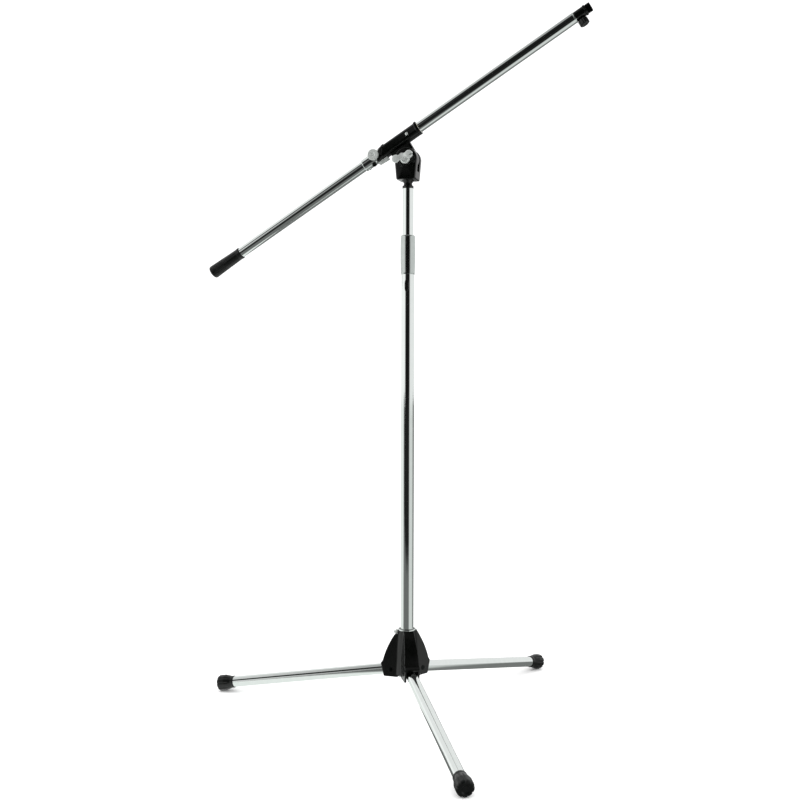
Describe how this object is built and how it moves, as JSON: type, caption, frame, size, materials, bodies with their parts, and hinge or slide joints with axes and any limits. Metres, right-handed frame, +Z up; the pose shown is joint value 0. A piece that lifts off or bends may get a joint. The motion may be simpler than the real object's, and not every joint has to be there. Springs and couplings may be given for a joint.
{
  "type": "boom microphone stand",
  "caption": "Folding tripod microphone stand with a telescoping twist-clutch mast and a tilting, sliding boom that ends in a standard microphone thread",
  "frame": {"origin": "on the floor, on the vertical axis of the mast", "axes": "+Z up along the mast; the boom lies in the XZ plane and its microphone end points to +X; the tilt wing nut faces -Y"},
  "size_m": [0.6796, 0.6318, 1.1738],
  "materials": {
    "chrome_tube": "bright chrome plate on drawn steel tube",
    "black_casting": "black enamelled zinc casting, low gloss",
    "black_rubber": "moulded black rubber",
    "black_plastic": "moulded black nylon",
    "plated_steel": "bright zinc plated steel",
    "black_steel": "black oxide on cut steel thread",
    "brass": "turned brass",
    "nylon": "natural moulded nylon"
  },
  "bodies": {
    "mast": {"base_tube": "chrome_tube", "stop_ring": "plated_steel", "tube_plug": "black_plastic", "clutch_seat": "brass", "clutch_collet": "nylon", "clutch_key": "black_plastic"},
    "clutch": {"clutch_sleeve": "chrome_tube"},
    "hub": {"tripod_hub": "black_casting", "neck_ring": "chrome_tube", "clamp_shoe": "brass", "leg_pins": "black_steel"},
    "hub_screw": {"hub_wing_screw": "plated_steel"},
    "leg_left": {"leg_root_left": "plated_steel", "leg_tube_left": "chrome_tube", "foot_left": "black_rubber"},
    "leg_right": {"leg_root_right": "plated_steel", "leg_tube_right": "chrome_tube", "foot_right": "black_rubber"},
    "leg_front": {"leg_root_front": "plated_steel", "leg_tube_front": "chrome_tube", "foot_front": "black_rubber"},
    "rod": {"upper_rod": "chrome_tube", "rod_bush": "nylon", "rod_cap": "black_plastic"},
    "head": {"head_yoke": "black_casting", "stem_clip": "plated_steel", "friction_washers": "plated_steel", "tilt_bolt": "plated_steel"},
    "tilt_nut": {"tilt_wing_nut": "chrome_tube"},
    "cradle": {"boom_cradle": "black_casting", "cradle_liner": "nylon", "cradle_rivet": "chrome_tube", "boom_collar": "chrome_tube", "collar_set_screw": "black_steel", "jaw_strap": "chrome_tube"},
    "thumb_screw": {"collar_thumb_screw": "chrome_tube"},
    "boom": {"boom_tube": "chrome_tube", "boom_grip": "black_rubber", "tip_ring": "chrome_tube", "tip_adapter": "black_casting", "mic_stud": "black_steel"},
    "lock_ring": {"lock_ring": "black_casting"},
    "tip_knob": {"tip_knob": "black_plastic"}
  },
  "joints": [
    {"name": "clutch_twist", "type": "hinge", "parent": "mast", "child": "clutch", "pos_m": [0, 0, 0.782], "axis": [0, 0, 1], "range_deg": [0, 180]},
    {"name": "hub_slide", "type": "slide", "parent": "mast", "child": "hub", "axis": [0, 0, 1], "range_m": [0, 0.32]},
    {"name": "hub_screw_turn", "type": "hinge", "parent": "hub", "child": "hub_screw", "pos_m": [-0.01879, -0.00684, 0.138], "axis": [-0.9397, -0.342, 0], "range_deg": [0, 540]},
    {"name": "leg_left_fold", "type": "hinge", "parent": "hub", "child": "leg_left", "pos_m": [-0.026, 0, 0.07264], "axis": [0, -1, 0], "range_deg": [0, 78.5]},
    {"name": "leg_right_fold", "type": "hinge", "parent": "hub", "child": "leg_right", "pos_m": [0.013, 0.02252, 0.07264], "axis": [-0.866, 0.5, 0], "range_deg": [0, 78.5]},
    {"name": "leg_front_fold", "type": "hinge", "parent": "hub", "child": "leg_front", "pos_m": [0.013, -0.02252, 0.07264], "axis": [0.866, 0.5, 0], "range_deg": [0, 78.5]},
    {"name": "rod_slide", "type": "slide", "parent": "mast", "child": "rod", "axis": [0, 0, 1], "range_m": [-0.06, 0.55]},
    {"name": "head_swivel", "type": "hinge", "parent": "rod", "child": "head", "pos_m": [0, 0, 0.9], "axis": [0, 0, 1], "continuous": true},
    {"name": "boom_tilt", "type": "hinge", "parent": "head", "child": "cradle", "pos_m": [0, 0, 0.9416], "axis": [0, -1, 0], "range_deg": [-115, 55]},
    {"name": "tilt_nut_turn", "type": "hinge", "parent": "head", "child": "tilt_nut", "pos_m": [0, -0.02, 0.9416], "axis": [0, -1, 0], "range_deg": [0, 540]},
    {"name": "boom_slide", "type": "slide", "parent": "cradle", "child": "boom", "axis": [0.8554, 0, 0.518], "range_m": [-0.28, 0.26]},
    {"name": "thumb_screw_turn", "type": "hinge", "parent": "cradle", "child": "thumb_screw", "pos_m": [-0.05543, -0.02, 0.95012], "axis": [0, -1, 0], "range_deg": [0, 540]},
    {"name": "lock_ring_turn", "type": "hinge", "parent": "boom", "child": "lock_ring", "pos_m": [0.29458, 0, 1.1621], "axis": [0.8554, 0, 0.518], "continuous": true},
    {"name": "tip_knob_turn", "type": "hinge", "parent": "boom", "child": "tip_knob", "pos_m": [0.29226, 0, 1.14432], "axis": [0.518, 0, -0.8554], "range_deg": [0, 540]}
  ]
}
